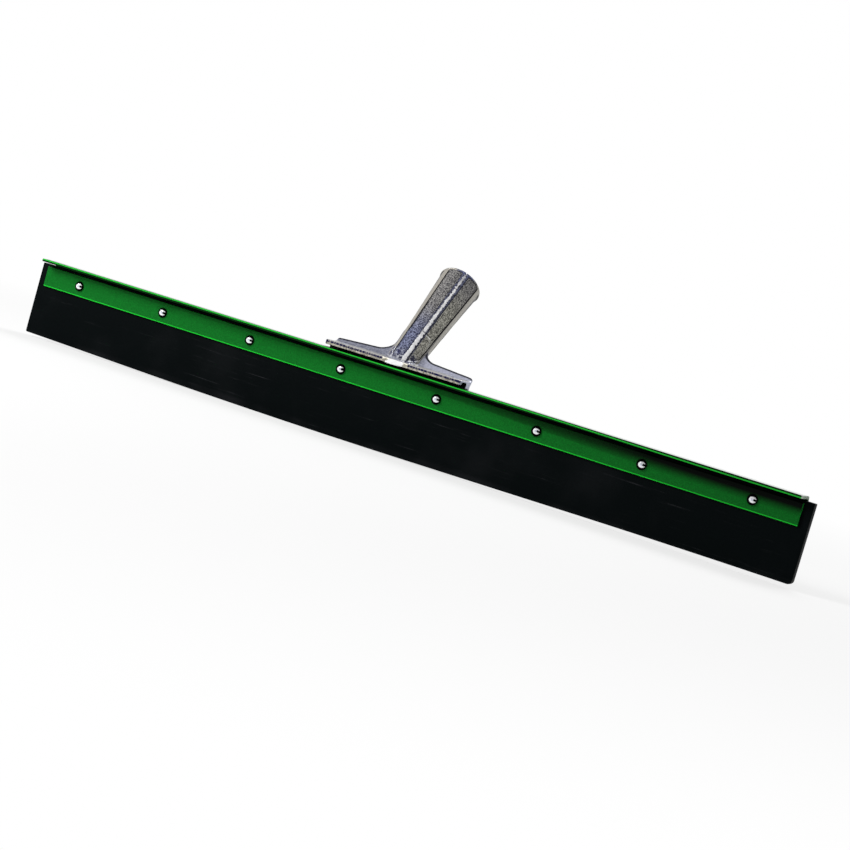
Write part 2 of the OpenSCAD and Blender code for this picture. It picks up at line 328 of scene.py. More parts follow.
def blade_rows():
    """Places along X: close together in the round corners, 4 mm apart between them."""
    half, edge = BLADE["length"]/2, BLADE["edge"]
    turn = 1 - np.cos(np.linspace(0, np.pi/2, 9)[1:])
    left = -half + edge + (BLADE["left_corner"] - edge)*turn
    right = half - edge - (BLADE["right_corner"] - edge)*turn[::-1]
    return np.concatenate([left, np.arange(left[-1] + 4, right[0] - 2, 4.0), right])


half_thick = BLADE["thick"]/2
blade = slab_rings(BLADE["length"], blade_low, lambda x: 0*x + BLADE["height"], -half_thick, half_thick,
                   BLADE["edge"], blade_rows())
rubber = tube_piece("rubber", [blade_wander(blade)], "rubber_blade")

# %% [markdown]
# ## The rivets
# Eight solid rivets with a domed head in front and a lower, closed head behind. A turned shape is a
# profile of radius and height spun round an axis. The head's rim is slightly rounded, its crown has a
# faint flat from the setting tool, and the closed heads aren't all alike.

# %% Rivet surfaces
def turned(profile, centre, axis, columns=40):
    """Rings of a profile (radius, height) spun round a line through centre. Point = centre + height
    times axis + radius (u cos + v sin), where u and v are square to the axis."""
    axis = np.array(axis, float)/np.linalg.norm(axis)
    u = np.cross(axis, [0.0, 0.0, 1.0] if abs(axis[2]) < 0.9 else [0.0, 1.0, 0.0])
    u /= np.linalg.norm(u)
    v = np.cross(axis, u)
    a = np.linspace(0, 2*np.pi, columns, endpoint=False)
    spoke = u*np.cos(a)[:, None] + v*np.sin(a)[:, None]
    radius, height = np.array(profile).T
    return np.array(centre) + height[:, None, None]*axis + radius[:, None, None]*spoke


def dome_profile(radius, height, rim=0.35, flat=0.12, steps=14):
    """From the base's rim to the crown: an upright rim, then an arc that ends in a small flat."""
    a = np.linspace(0, np.pi/2*(1 - flat), steps)
    r = radius*np.cos(a)
    h = rim + (height - rim)*np.sin(a)/np.sin(a[-1])
    return np.column_stack([np.append(radius, r), np.append(0.0, h)])


RIVET_PITCH = 76.2
RIVET_X = (np.arange(8) - 3.5)*RIVET_PITCH
RIVET = dict(shank=2.0, head=3.6, crown=2.3, tail=3.1, tail_height=1.4, vary=0.08)


def blade_rivet(x, tail_radius, tail_height):
    """One rivet from closed head to dome, as one profile: the shank joins the two."""
    head = dome_profile(RIVET["head"], RIVET["crown"])
    tail = dome_profile(tail_radius, tail_height, rim=0.3, flat=0.3)
    grip = BACK_Y - FRONT_Y
    tail_part = np.column_stack([tail[::-1, 0], -grip - tail[::-1, 1]])
    shank = [[RIVET["shank"], -grip], [RIVET["shank"], 0.0]]
    return turned(np.concatenate([tail_part, shank, head]), (x, FRONT_Y, RIVET_Z), (0, -1, 0))


vary = np.random.default_rng(7).uniform(-1, 1, (8, 2))*RIVET["vary"]
shells = [blade_rivet(x, RIVET["tail"] + wider, RIVET["tail_height"] + higher)
          for x, (wider, higher) in zip(RIVET_X, vary)]
rivets = tube_piece("rivets", shells, "blade_rivets")

# %% [markdown]
# The two flush rivets stand upright. Each is one profile too: a flat head under the frame, a shank, and
# a cone that fills the countersink, closed by a dome that stands a hair above the casting.

# %% Flush rivets
SOCKET_RIVET_X, SOCKET_RIVET_Y = (-42.5, 45.5), -1.7


def flush_rivet(x):
    """Flat head under the frame, shank, and a flush head that ends in a very low dome."""
    crown = np.linspace(0, 1, 8)
    profile = [[3.4, 56.1], [3.7, 56.35], [3.7, 56.9], [2.5, 56.9], [2.5, 62.9], [3.6, 64.15]]
    dome = np.column_stack([3.7*np.cos(crown*np.pi/2*0.95), 64.22 + 0.2*np.sin(crown*np.pi/2)])
    return turned(np.concatenate([profile, dome]), (x, SOCKET_RIVET_Y, 0.0), (0, 0, 1), columns=32)


flush_rivets = tube_piece("flush_rivets", [flush_rivet(x) for x in SOCKET_RIVET_X],
                          "socket_rivets")

# %% [markdown]
# ## The cast socket as a field
# A sand casting has no sharp inner corner: tube, fins and foot flow into each other, and every rib has
# a soft flank. Sheets of points can't be joined like that, but numbers in space can. A field gives each
# point its distance to the surface, less than zero inside the metal. The smaller of two fields is their
# union, and where the two are nearly equal a little is taken off, which pours a fillet into the joint.
# The same step with the signs turned rounds off an outer edge or cuts one shape out of another.

# %% Joining fields
def join(a, b, fillet):
    """Union: min(a, b) - h*h/(4*fillet), where h = max(fillet - |a - b|, 0)."""
    h = np.maximum(fillet - np.abs(a - b), 0)
    return np.minimum(a, b) - h*h/(4*fillet)


def overlap(a, b, rounding):
    """What lies in both, with the edge between them rounded."""
    return -join(-a, -b, rounding)


def cut_out(a, b, rounding):
    """a without b."""
    return overlap(a, -b, rounding)


def smooth_step(v):
    v = np.clip(v, 0, 1)
    return v*v*(3 - 2*v)


print("where two faces meet, a fillet of 1 mm takes off", -join(0.0, 0.0, 1.0), "mm")

# %% [markdown]
# The tube leans back and has its own coordinates: t runs up its axis, f points out to the front and s
# to the right. In them the tube is a plain cone.

# %% The tube's coordinates
LEAN = math.radians(41.6)
TUBE = dict(x=1.5, y=4.4, z=64.2, length=82.0, root=11.7, mouth=16.0)


def tube_radius(t):
    return TUBE["root"] + (TUBE["mouth"] - TUBE["root"])*t/TUBE["length"]


def tube_place(x, y, z):
    """s, f and t of a point."""
    u, v = y - TUBE["y"], z - TUBE["z"]
    return (x - TUBE["x"], v*math.sin(LEAN) - u*math.cos(LEAN), u*math.sin(LEAN) + v*math.cos(LEAN))


print("the rivets lie at s, f, t =", [round(float(c), 1) for c in tube_place(*rivet_line)])

# %% [markdown]
# Six ribs run up the tube, with a sunk panel between each two, and a panel is an outline in a plane,
# wrapped round the cone. The panels' lower ends follow the foot, lower in front than behind. Their floor
# drops at a step a quarter of the way up, and from there it rises slowly towards the mouth.

# %% Tube field
RIB = dict(root=3.0, growth=1.8, rim=1.8)
SINK = dict(low=0.7, drop=0.5, rise=0.6, step=21.0, blend=0.4)
PANELS = [(0, -4.0, -4.0), (60, -6.5, 3.0), (-60, 3.0, -6.5), (120, 3.0, 9.0), (-120, 9.0, 3.0),
          (180, 9.0, 9.0)]  # angle round the tube, and t where its left and its right side end
PANEL_WIDTH_LOW = 8.6


def panel_field(s, f, t, angle, left_end, right_end):
    """Outline of one panel: |a| < width/2 across it, above a slanted lower end, below the rim."""
    c, k = math.cos(math.radians(angle)), math.sin(math.radians(angle))
    a, b = s*c - f*k, f*c + s*k
    width = tube_radius(t) - (RIB["root"] + RIB["growth"]*t/TUBE["length"])
    slant = (right_end - left_end)/PANEL_WIDTH_LOW
    lower = (left_end + (right_end - left_end)*(a/width + 0.5) - t)/math.hypot(1, slant)
    sides = overlap(np.abs(a) - width/2, lower, 2.2)
    return np.maximum(overlap(sides, t - (TUBE["length"] - RIB["rim"]), 1.2), -b)


def panel_depth(t):
    """SINK's low up to the step, low + drop above it, and from there less, by rise up to the mouth."""
    above = (t - SINK["step"])/(TUBE["length"] - SINK["step"])
    stepped = smooth_step((t - SINK["step"] + SINK["blend"])/(2*SINK["blend"]))
    return SINK["low"] + stepped*(SINK["drop"] - SINK["rise"]*above)


def tube_field(s, f, t):
    """The cone with its round rim, less the panels down to their floor."""
    r = np.hypot(s, f)
    cone = overlap(r - tube_radius(t), t - TUBE["length"], 1.0)
    outlines = panel_field(s, f, t, *PANELS[0])
    for panel in PANELS[1:]:
        outlines = np.minimum(outlines, panel_field(s, f, t, *panel))
    floor = tube_radius(t) - panel_depth(t)
    return cut_out(cone, overlap(outlines, floor - r, 0.4), 0.6)


print("panels are sunk by", [round(float(panel_depth(t)), 2) for t in (10, 22, 78)], "mm, going up")

# %% [markdown]
# The bore takes the tapered end of a handle: it is straight just inside the mouth, where the handle is
# held, and then narrows.

# %% Bore field
BORE = dict(mouth=13.0, taper=3.8, straight=14.0, depth=68.0)


def bore_field(s, f, t):
    """A straight stretch inside the mouth, then a taper down to the full depth."""
    depth = TUBE["length"] - t
    narrowing = (depth - BORE["straight"])/(BORE["depth"] - BORE["straight"])
    radius = BORE["mouth"] - BORE["taper"]*np.clip(narrowing, 0, 1)
    return overlap(np.hypot(s, f) - radius, depth - BORE["depth"], 3.0)


print("bore, mm:", 2*BORE["mouth"], "wide at the mouth,", 2*(BORE["mouth"] - BORE["taper"]), "at its end")

# %% [markdown]
# A low fin stands along the foot in the plane of the tube's axis and sweeps up the tube's sides in a
# circle of 12 mm radius.

# %% Fin field
FIN = dict(half=1.5, root=4.9, fall=2.4, sweep=12.0, end=54.0)
FIN_START = float(tube_radius(FIN["root"])) + FIN["sweep"]
SWEEP_T = FIN["root"] + FIN["sweep"]


def fin_field(s, f, t):
    """Thickness in f; its top is a slant line out to the end, and near the tube a circle."""
    out = np.abs(s)
    line = t - (FIN["root"] - FIN["fall"]*np.clip((out - FIN_START)/(FIN["end"] - FIN_START), 0, 1))
    circle = FIN["sweep"] - np.hypot(np.minimum(out - FIN_START, 0), np.minimum(t - SWEEP_T, 0))
    top = np.where(out < FIN_START, circle, line)
    plate = overlap(overlap(np.abs(f) - FIN["half"], top, 0.7), out - FIN["end"], 2.2)
    return overlap(plate, -t - 1.6, 0.3)


print("the fins meet their sweep %.1f mm beside the tube's axis" % FIN_START)

# %% [markdown]
# The foot is a long plate whose rear half reaches down to the frame. A channel is cored out of it on
# both sides of the solid middle, so the rivets get bosses of their own.

# %% Foot field
FOOT = dict(half=54.0, front=-12.3, back=5.2, corner=2.5, low=60.9, seat=58.9, sole=-3.3, top=64.2)
CHANNEL = dict(y=-6.9, half=3.6, top=63.0, inner_end=20.0)
BOSS = dict(x=44.0, radius=4.5, top=63.6)


def foot_field(x, y, z):
    """A plate with round corners in plan, its sole, the two channels and the rivets' bosses."""
    out, corner = np.abs(x - TUBE["x"]), FOOT["corner"]
    qx = out - FOOT["half"] + corner
    qy = np.abs(y - (FOOT["front"] + FOOT["back"])/2) - (FOOT["back"] - FOOT["front"])/2 + corner
    plan = np.hypot(np.maximum(qx, 0), np.maximum(qy, 0)) + np.minimum(np.maximum(qx, qy), 0) - corner
    plate = overlap(overlap(plan, z - FOOT["top"], 0.9), FOOT["low"] - z, 0.4)
    sole = overlap(np.maximum(plan, FOOT["sole"] - y), np.maximum(z - 62.0, FOOT["seat"] - z), 0.3)
    section = overlap(np.abs(y - CHANNEL["y"]) - CHANNEL["half"], z - CHANNEL["top"], 1.9)
    channel = overlap(section, CHANNEL["inner_end"] - out, 1.0)
    boss = overlap(np.hypot(out - BOSS["x"], y - SOCKET_RIVET_Y) - BOSS["radius"],
                   np.maximum(z - BOSS["top"], FOOT["seat"] - z), 0.3)
    return join(cut_out(join(plate, sole, 0.3), channel, 0.4), boss, 0.6)


print("the foot is %.0f mm long and %.1f mm wide" % (2*FOOT["half"], FOOT["back"] - FOOT["front"]))

# %% [markdown]
# The casting is all of them: tube and fins flow together, then the foot, and the bore is cut last. The
# tube is cut off in front of the foot's face and below the foot's plate.

# %% The whole casting
def casting(x, y, z):
    """The whole socket."""
    s, f, t = tube_place(x, y, z)
    tube = overlap(overlap(tube_field(s, f, t), FOOT["low"] - z, 0.4), FOOT["front"] - 0.8 - y, 1.2)
    upper = join(tube, fin_field(s, f, t), 1.8)
    return cut_out(join(upper, foot_field(x, y, z), 1.2), bore_field(s, f, t), 1.0)


print("the tube's root lies %.1f mm inside the metal" % -casting(TUBE["x"], TUBE["y"], TUBE["z"]))

# %% [markdown]
# To turn the field into a mesh, space is cut into small cubes. Each cube that the surface passes gets
# one point, at the mean of the places where the surface crosses the cube's edges.

# %% Crossing points
def crossing_points(values):
    """The cubes that the surface passes, and one point in each, in units of a cube's edge."""
    inside = values < 0
    corner = [(i, j, k) for i in (0, 1) for j in (0, 1) for k in (0, 1)]
    size = np.array(values.shape) - 1
    part = [tuple(slice(c, c + n) for c, n in zip(q, size)) for q in corner]
    count = sum(inside[p].astype(np.int8) for p in part)
    cubes = np.argwhere((count > 0) & (count < 8))
    at = np.stack([values[tuple((cubes + q).T)] for q in corner], 1)
    total, crossed = np.zeros((len(cubes), 3)), np.zeros((len(cubes), 1))
    for m, a in enumerate(corner):
        for n, b in enumerate(corner[m + 1:], m + 1):
            if sum(abs(p - q) for p, q in zip(a, b)) == 1:
                change = (at[:, m] < 0) != (at[:, n] < 0)
                share = np.where(change, at[:, m]/np.where(change, at[:, m] - at[:, n], 1), 0)[:, None]
                total += change[:, None]*(np.array(a) + share*(np.array(b) - np.array(a)))
                crossed += change[:, None]
    return cubes, cubes + total/crossed


rod = np.hypot(*np.meshgrid(*[np.arange(-2.0, 3.0)]*2, indexing="ij"))[..., None] - 1.5 + np.zeros(3)
print("a short rod passes", len(crossing_points(rod)[0]), "cubes")

# %% [markdown]
# Each cube edge that the surface crosses gets one face, between the four cubes round that edge. It is
# wound by the side on which the metal lies, so all faces look outwards.

# %% Crossing faces
def crossing_faces(values, cubes):
    """One quad for each crossed grid edge, wound so that it faces out of the metal."""
    inside = values < 0
    number = np.full(np.array(values.shape) - 1, -1, np.int32)
    number[tuple(cubes.T)] = np.arange(len(cubes))
    quads = []
    for axis in range(3):
        side, other = (axis + 1) % 3, (axis + 2) % 3
        start = [slice(1, -1)]*3
        start[axis] = slice(0, -1)
        end = list(start)
        end[axis] = slice(1, None)
        leaving, entering = inside[tuple(start)], inside[tuple(end)]
        edge = np.argwhere(leaving != entering) + np.array([0 if i == axis else 1 for i in range(3)])
        step = np.eye(3, dtype=int)
        ring = [edge - step[side] - step[other], edge - step[other], edge, edge - step[side]]
        quad = np.stack([number[tuple(q.T)] for q in ring], 1)
        outward = inside[tuple(edge.T)]
        quads.append(np.where(outward[:, None], quad, quad[:, ::-1]))
    return np.concatenate(quads)


print("the rod's side has", len(crossing_faces(rod, crossing_points(rod)[0])), "faces")

# %% [markdown]
# Two Newton steps then bring every point exactly onto the surface, and the field's slope there is the
# surface's normal, so small facets never show. Cubes of half a millimetre keep the smallest fillets.

# %% Socket mesh
def slope(field, points, reach=0.02):
    """Central differences of the field along X, Y and Z."""
    steps = np.eye(3)*reach
    return np.stack([(field(*(points + d).T) - field(*(points - d).T))/(2*reach) for d in steps], 1)


CELL = 0.56
LOW_CORNER, HIGH_CORNER = np.array([-54.0, -15.0, 57.5]), np.array([57.0, 72.5, 137.5])
LONGEST_STEP = 0.3

counts = np.ceil((HIGH_CORNER - LOW_CORNER)/CELL).astype(int)
lines = [(LOW_CORNER[i] + CELL*np.arange(counts[i])).astype(np.float32) for i in range(3)]
values = casting(*np.meshgrid(*lines, indexing="ij", sparse=True))
cubes, points = crossing_points(values)
faces = crossing_faces(values, cubes)
points = LOW_CORNER + CELL*points
for _ in range(2):
    normals = slope(casting, points)
    away = casting(*points.T)[:, None]/(normals**2).sum(1, keepdims=True)
    points -= np.clip(away, -LONGEST_STEP, LONGEST_STEP)*normals
normals = slope(casting, points)
normals /= np.linalg.norm(normals, axis=1, keepdims=True)
print("furthest from the surface: %.3f mm" % np.abs(casting(*points.T)).max())

socket_mesh = bpy.data.meshes.new("socket")
socket_mesh.from_pydata(points*MM, [], faces.tolist())
socket_mesh.shade_smooth()
socket_mesh.normals_split_custom_set_from_vertices(normals.tolist())
socket = add_piece("socket", socket_mesh, "handle_socket")

# %% [markdown]
# ## The finish of the rubber
# Black rubber reflects little. What the eye reads is a faint sheen broken by thin lengthwise scratches,
# pale dust that stays in them, and a very fine skin from the calender that rolled the sheet.

# %% Rubber
rubber_finish = finish_of("black_rubber")
mm, (x, y, z) = rubber_finish.place()
rub = rubber_finish.noise(rubber_finish.stretch(mm, 0.012, 0.3, 0.55), 1.0, 4.0, 0.6)
streak = rubber_finish.noise(rubber_finish.stretch(mm, 0.05, 1.0, 2.2), 1.0, 3.0, 0.6)
patch = rubber_finish.noise(mm, 0.02, 3.0, 0.55)
skin = rubber_finish.noise(mm, 2.2, 2.0, 0.6)
scuff = rub.step(0.58, 0.76)*streak.step(0.5, 0.72)
worn_edge = z.until(3.0, 6.0)*patch.step(0.35, 0.7)
dust = (scuff*0.9 + patch.step(0.45, 0.8)*0.07 + worn_edge*0.12).low(1.0)
rubber_finish.set(
    Base_Color=rubber_finish.mix(dust, srgb(4, 8, 9), srgb(62, 62, 66)),
    Roughness=0.5 + dust*0.25 + (skin - 0.5)*0.1,
    Specular_IOR_Level=0.025,
    Normal=rubber_finish.bump(skin*0.03 + scuff*0.02 + streak*0.015))
dress(rubber, rubber_finish)

# %% [markdown]
# ## The green enamel
# The steel is sprayed after it is cut and bent. A painted highlight runs along the lip and along the
# strip's lower edge, with painted shade on the lip's face between. The upper half of the strip is
# painted nearly black as the lip's shade, more so towards the far end. Masks for such places
# are plain sums of coordinates: the first cell works them out for both steel pieces at once.

# %% Where the enamel differs
LIP_Y, LIP_LINE_Z, STEEL_END = -14.5, 58.5, 298.2
SHADE = dict(low=51.5, spread=6.5, dark=54.5)
FOOT_SHADE = dict(x=0.5, half=55.0, front=-12.8)
enamel = finish_of("green_enamel")
mm, (x, y, z) = enamel.place()
far_end = x.step(-60.0, 260.0)
far_end_squared = far_end*far_end
ends = (abs(x) - STEEL_END).step(0.0, 0.2)
lip_face = (y - LIP_Y).until(0.2, 0.6)
# painted highlight: a bright line along the lip's front face, which is otherwise painted dark
lip_line = (0.42 - abs(z - LIP_LINE_Z + far_end_squared*1.1)).step(-0.1, 0.15)
# painted highlight along the strip's lower edge
strip_rim = (z - STRIP_Z).until(0.5, 0.9)*(y - FRONT_Y).until(0.5, 0.9)
top = (z - FOOT["seat"]).step(-0.12, -0.04)*(y - LIP_Y).step(0.1, 0.4)
# painted shade: a darker band along the front of the lip's top
front_edge_shade = top*(y + 8.5 + far_end_squared*5.0).until(-2.0, 2.0)
# painted shade on the lip's top under the foot
shade_under_foot = top*(y - FOOT_SHADE["front"]).step(0.0, 0.6)
shade_under_foot = shade_under_foot*(abs(x - FOOT_SHADE["x"]) - FOOT_SHADE["half"]).until(0.0, 2.0)
# painted shade along the rear of the lip's top
rear_line = top*(y - 2.0).step(0.0, 0.8)
back = (y - BACK_Y).step(-0.1, 0.0)
# painted shade of the lip on the strip's upper half, deeper towards the far end
painted_lip_shade = (z - (SHADE["low"] - far_end*SHADE["spread"])).step(0.0, 1.0)
painted_lip_shade = painted_lip_shade*(z - SHADE["dark"]).step(-10.5, -1.5)
painted_lip_shade = painted_lip_shade*(1 - lip_face)*(-y).step(2.0, 3.0)*(1 - top)*(1 - ends)*(0.25 + far_end*0.65)
# all painted shade together, with a painted darkening towards the far end
painted_shade = (shade_under_foot + painted_lip_shade + rear_line*0.2 + far_end_squared*0.2*(1 - ends)).low(1.0)
print("nodes for the places:", len(enamel.tree.nodes))

# %% [markdown]
# The film has the slight orange peel of sprayed enamel. The lip's top face is the glossiest, as a clear
# coat, with a duller front edge; that edge, its rear and the part under the foot get painted shade. Fine
# chips show grey primer, and at the steel's cut ends the lip is worn pale.

# %% Enamel
peel = enamel.noise(mm, 0.9, 1.5, 0.5)
cloud = enamel.noise(mm, 0.03, 3.0, 0.55)
fine = enamel.noise(mm, 1.6, 3.0, 0.7)
chips = enamel.noise(mm, 0.8, 4.0, 0.65).step(0.71, 0.74)
bare = ends*(z - 56.0).step(0.0, 0.5)*fine.step(0.4, 0.55)
green = enamel.mix(fine.step(0.25, 0.75), srgb(8, 90, 26), srgb(16, 120, 38))
# painted shade and highlight on the lip's face, and a painted highlight on the strip's lower edge
green = enamel.mix(lip_face, green, enamel.mix(lip_line, srgb(2, 40, 7), srgb(36, 186, 52)))
green = enamel.mix(strip_rim*0.9, green, srgb(34, 214, 56))
# the painted shade along the front of the lip's top
green = enamel.mix(front_edge_shade, green, srgb(6, 76, 18))
# the painted shade, mixed towards black
green = enamel.mix(painted_shade, green, srgb(3, 7, 4))
green = enamel.mix(bare, green, srgb(206, 216, 204))
dull = (shade_under_foot + front_edge_shade + rear_line*0.4).low(1.0)
enamel.set(
    Base_Color=enamel.mix(chips*0.4, green, srgb(60, 74, 60)),
    Roughness=0.36 + cloud*0.1 + fine*0.06,
    Coat_Weight=(0.02 + top*0.98 + back*0.4)*(1 - dull),
    Coat_Roughness=0.06,
    Specular_IOR_Level=0.03,
    Normal=enamel.bump(peel*0.04 + fine*0.01))
for name in ("back_frame", "clamp_strip"):
    dress(nodes[name], enamel)

# %% [markdown]
# ## The cast aluminium
# The socket is cast in sand and has three tones: grained panels, smoother grey ribs and rim, and a pale
# foot. A material doesn't know which is which, so the tube's own coordinates are worked out again in
# the nodes, from the same numbers that shape the surface. How far a point lies below the outer cone
# tells a panel from a rib, and `across`, the distance from the front rib's middle plane, tells the ribs
# apart.

# %% Places on the tube
COS30, SIN30 = 0.866, 0.5
cast = finish_of("cast_aluminium")
mm, (x, y, z) = cast.place()
u, v, side = y - TUBE["y"], z - TUBE["z"], x - TUBE["x"]
along = u*math.sin(LEAN) + v*math.cos(LEAN)
forward = v*math.sin(LEAN) - u*math.cos(LEAN)
across = side*COS30 - forward*SIN30
off_rib = abs(across).low(abs(forward)).low(abs(side*COS30 + forward*SIN30))
cone = TUBE["root"] + along*((TUBE["mouth"] - TUBE["root"])/TUBE["length"])
depth = cone - (side*side + forward*forward)**0.5
rise = SINK["rise"]/(TUBE["length"] - SINK["step"])
stepped = along.step(SINK["step"] - SINK["blend"], SINK["step"] + SINK["blend"])
sunk = depth/(SINK["low"] + stepped*(SINK["drop"] - (along - SINK["step"])*rise))
on_tube = along.step(-9.0, -6.0)*depth.until(1.5, 1.7)*(depth + 1.0).step(0.0, 0.6)
panel = sunk.step(0.6, 0.9)*on_tube
flank = sunk.step(0.15, 0.4)*sunk.until(0.7, 0.95)*on_tube
front_rib = on_tube*forward.step(0.0, 2.0)*abs(across).until(2.4, 2.7)
inside = depth.step(2.0, 2.6)*along.step(14.0, 20.0)
print("nodes for the places on the tube:", len(cast.tree.nodes))

# %% [markdown]
# The sand leaves a coarse grain with pits in the panels. Ribs and foot were brushed with the fettler's
# belt, so their grain is weaker. One noise, `ragged`, is kept for the edges of the painted highlights
# and the painted shade, so that none of them is a straight line.

# %% Sand, pits and ragged edges
grain = cast.noise(mm, 1.15, 3.0, 0.65)
fine_grain = cast.noise(mm, 2.6, 3.0, 0.65)
mottle = cast.noise(mm, 0.6, 4.0, 0.75).step(0.35, 0.65)
# noise for the patchiness of the painted highlights and painted shade
patchiness = cast.noise(mm, 0.25, 3.0, 0.6).step(0.3, 0.6)
ragged = cast.noise(mm, 0.7, 3.0, 0.7)
pits = cast.noise(mm, 1.3, 2.0, 0.6).until(0.30, 0.42)*(0.25 + panel*0.75)
rough_cast = (panel + inside*0.6).low(1.0)
height = (grain*0.25 + fine_grain*0.08)*(0.2 + rough_cast*0.8) - pits*0.12
print("nodes with the grain:", len(cast.tree.nodes))

# %% [markdown]
# The front rib and the toe below it stand furthest out. A painted highlight lies on the front rib's
# crest, on the toe and on what stands in front of the foot's face, and painted shade on the rib's
# shoulders.

# %% Painted highlights
TOE_X, TOE_HALF, TOE_Z = 2.2, 5.8, 62.0
half_width = 1.3 - along*0.009
# painted highlight along the front rib's crest
ridge = (abs(across + 0.2) - half_width - (ragged - 0.5)*3.2).until(-0.15, 0.2)*(0.8 + patchiness*0.2)
# a break in the painted highlight at the step
highlight_break = along.near(SINK["step"] + 0.3, 0.3, 0.6)*(across + 1.4).step(0.0, 0.4)
ridge = ridge*front_rib*(1 - highlight_break*0.8)*(1 - along.step(62.0, 78.0)*0.45)
# painted shade on the rib's shoulders beside the highlight
shoulder_shade = front_rib*(1 - ridge)
toe = (abs(side - TOE_X) - TOE_HALF - (ragged - 0.5)*7.0).until(0.0, 1.2)
toe = toe*(TOE_Z + (x + 4.5)*0.5 + (ragged - 0.5)*3.0 - z).step(-0.3, 0.4)*(-11.5 - y).step(0.0, 0.4)
# painted highlight on the crest, the toe and what stands in front of the foot's face
painted_highlight = (ridge + toe + (FOOT["front"] - 0.05 - y).step(0.0, 0.25)).low(1.0)
print("nodes with the rubbed places:", len(cast.tree.nodes))

# %% [markdown]
# The foot has a front face, a bevel above it, a flat top on both sides of the fins, and the channels,
# which are painted black as shade, as black as any deep gap. The fins' brim is found from the field of
# their own cell, written once more in nodes.

# %% Places on the foot and fins
facing_up = cast.split(cast.node("ShaderNodeNewGeometry", output=1))[2].step(0.85, 0.97)
ledge = facing_up*(1 - on_tube)
# painted shade along the front of the foot's top
front_ledge = ledge*(y + 8.5).until(-3.0, 3.0)*(FOOT["top"] + 0.4 - z).step(0.0, 0.2)
face = (FOOT["front"] + 0.3 - y).step(0.0, 0.2)*along.until(-3.0, 0.0)
bevel = (z - FOOT["top"] + 0.4).step(0.0, 0.15)*(-11.0 - y).step(-0.3, 0.2)*(1 - on_tube)
# painted shade: the channels' inside is painted black
cored = (CHANNEL["top"] - 0.1 - z).step(0.0, 0.3)*(FOOT["sole"] + 0.2 - y).step(-0.1, 0.1)
cored = cored*(y - CHANNEL["y"] + CHANNEL["half"] + 0.1).step(-0.1, 0.2)
past_sweep = abs(side) - FIN_START
beyond = past_sweep.step(-0.01, 0.01)
fall = along - FIN["root"] + past_sweep*(FIN["fall"]/(FIN["end"] - FIN_START))
sweep = FIN["sweep"] - (past_sweep.low(0.0)**2.0 + (along - SWEEP_T).low(0.0)**2.0)**0.5
brim = fall*beyond + sweep*(1 - beyond)
print("nodes with the foot:", len(cast.tree.nodes))

# %% [markdown]
# Painted shade darkens the corners where a rib's flank meets the panel, the grooves beside the ribs,
# pits, the bore, a line along the foot's face, the fins' upper edge in front and the neck above the toe.
# Low on the tube the flanks get a painted highlight instead. It is navy along the foot and on the neck.

# %% Painted shade
EDGE_Z = 63.1
# the low rim, where the flanks get a painted highlight instead of painted shade
low_rim = flank*(off_rib - 2.5).step(0.0, 0.5)*along.until(10.0, 14.0)
groove = (off_rib - 1.5 - along*0.011).until(0.35, 0.75)*sunk.step(0.15, 0.4)*on_tube
# painted shade along the brink of the mouth
brink = on_tube*(along - TUBE["length"] + 0.9).step(0.0, 0.4)*depth.until(0.5, 0.9)
# painted shade along the fins' upper edge in front and the foot's left end
outline = brim.step(-1.9, -1.4)*brim.until(0.3, 0.5)*forward.step(-0.2, 0.6)
outline = outline*(z - FOOT["top"] - 0.4).step(0.0, 0.4)*(1 - on_tube)
left_end = (-50.5 - x).step(0.0, 0.6)*(-8.5 - y).step(0.0, 0.5)
outline = (outline + left_end).low(1.0)
# painted shade in navy dashes along the foot's top front edge
edge_line = (-10.8 - y).step(-0.2, 0.0)*z.near(EDGE_Z, 0.6, 0.95)*(1 - on_tube)
edge_line = edge_line*(abs(side) - FOOT["half"]).until(-1.0, -0.6)
edge_line = edge_line*(abs(side - TOE_X) - 9.5).step(0.0, 1.0)
dash = cast.noise(cast.stretch(mm, 1.0, 0.02, 0.02), 0.8, 2.0, 0.6).step(0.42, 0.52)
# the neck above the toe, which gets painted shade and a painted highlight
neck = on_tube*along.until(0.5, 4.0)*forward.step(2.0, 5.0)*(1 - painted_highlight)
# navy painted shade in patches on the neck
neck_shade = neck*cast.noise(mm, 0.4, 2.0, 0.6).until(0.44, 0.54)
navy = (edge_line + neck_shade).low(1.0)
# painted shade in the corners and grooves, and along the edges
shade_in_corners = flank*(0.9 - low_rim*0.8) + groove*(0.3 + across.step(4.0, 6.0)*(0.25 + patchiness*0.35))
edge_shade = front_ledge*0.5 + outline*0.9 + brink*0.85 + edge_line*(0.55 + dash*0.45) + neck_shade*0.85
# all that is painted dark: painted shade, with pits and bore darkened too
painted_dark = (shade_in_corners + pits*0.5 + inside*0.7 + edge_shade).low(1.0)
print("nodes with the grime:", len(cast.tree.nodes))

# %% [markdown]
# Now the three tones, each mixed by a noise. The panels get bluish, darker painted shade low on the left
# and warmer painted light on the right, with a painted highlight along their step, which bends down
# towards the right rib.

# %% Tone of the panels
def grained(dark, light):
    """Two colours, shared out by the sand's grain."""
    return cast.mix(grain.step(0.38, 0.62), srgb(*dark), srgb(*light))


